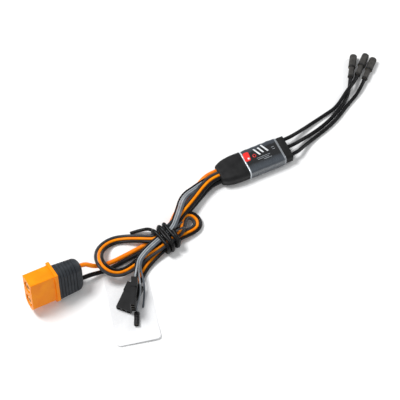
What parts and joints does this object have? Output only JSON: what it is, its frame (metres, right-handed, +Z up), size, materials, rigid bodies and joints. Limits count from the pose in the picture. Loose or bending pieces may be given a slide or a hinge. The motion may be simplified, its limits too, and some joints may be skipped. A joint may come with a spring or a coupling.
{
  "type": "electronic speed controller",
  "caption": "Brushless motor speed controller in a heat-shrunk sleeve, with battery lead and connector, servo type throttle lead, thin auxiliary wires and motor leads with bullet sockets.",
  "frame": {"origin": "middle of the controller's body, sleeve and boot together, on the surface it lies on; the loose leads are left out", "axes": "+X along the body towards the motor leads, +Y across it, +Z up through its thickness"},
  "size_m": [0.2195, 0.1063, 0.0214],
  "materials": {
    "sleeve": "glossy printed heat-shrink film",
    "seal": "matte black sealant",
    "boot": "soft matte black heat-shrink",
    "heat_spreader": "satin rolled",
    "pad": "soft grey thermal pad",
    "board": "solder masked glass-fibre laminate",
    "chip": "moulded epoxy",
    "ceramic": "tan fired ceramic",
    "copper": "tinned copper strand",
    "can": "drawn can",
    "bung": "matte rubber bung",
    "orange_silicone": "satin silicone insulation",
    "black_silicone": "satin silicone insulation",
    "grey_wire": "satin PVC insulation",
    "orange_wire": "satin PVC insulation",
    "black_wire": "satin PVC insulation",
    "connector": "moulded nylon, semi-gloss",
    "connector_boot": "soft ribbed rubber",
    "gold": "gold plated brass",
    "bullet_sleeve": "warm grey heat-shrink",
    "bullet_tail": "black heat-shrink",
    "plug": "moulded black plastic",
    "tie": "black coated tie wire",
    "tie_end": "cut wire ends",
    "paper": "uncoated white card"
  },
  "bodies": {
    "root": {"auxiliary_plug_contacts": "gold", "auxiliary_plug_housing": "plug", "auxiliary_wire_black": "black_wire", "auxiliary_wire_silver": "grey_wire", "auxiliary_wire_single": "black_wire", "auxiliary_wire_slate": "grey_wire", "battery_contact_negative": "gold", "battery_contact_positive": "gold", "battery_lead_negative": "black_silicone", "battery_lead_positive": "orange_silicone", "battery_wire_ends": "copper", "board_pins": "copper", "boot_seal": "seal", "bullet_front_sleeve_a": "bullet_sleeve", "bullet_front_sleeve_b": "bullet_sleeve", "bullet_front_sleeve_c": "bullet_sleeve", "bullet_socket_a": "gold", "bullet_socket_b": "gold", "bullet_socket_c": "gold", "bullet_tail_sleeve_a": "bullet_tail", "bullet_tail_sleeve_b": "bullet_tail", "bullet_tail_sleeve_c": "bullet_tail", "bullet_wire_ends": "copper", "capacitor_boot": "boot", "capacitor_bungs": "bung", "capacitor_cans": "can", "capacitor_legs": "copper", "ceramic_capacitors": "ceramic", "connector_boot": "connector_boot", "connector_housing": "connector", "connector_wire_ends": "copper", "control_board": "board", "controller_chip": "chip", "gate_drivers": "chip", "heat_shrink_sleeve": "sleeve", "heat_spreader": "heat_spreader", "lead_tie": "tie", "mosfets": "chip", "motor_end_seal": "seal", "motor_lead_a": "black_silicone", "motor_lead_b": "black_silicone", "motor_lead_c": "black_silicone", "motor_wire_ends": "copper", "paper_tag": "paper", "power_board": "board", "regulator_inductor": "chip", "resistors": "chip", "signal_wire_ends": "copper", "single_plug_contact": "gold", "single_plug_housing": "plug", "thermal_pad": "pad", "throttle_plug_contacts": "gold", "throttle_plug_housing": "plug", "throttle_wire_black": "black_wire", "throttle_wire_grey": "grey_wire", "throttle_wire_orange": "orange_wire", "tie_hooks": "tie_end", "tie_tail": "tie", "voltage_regulators": "chip"}
  },
  "joints": []
}
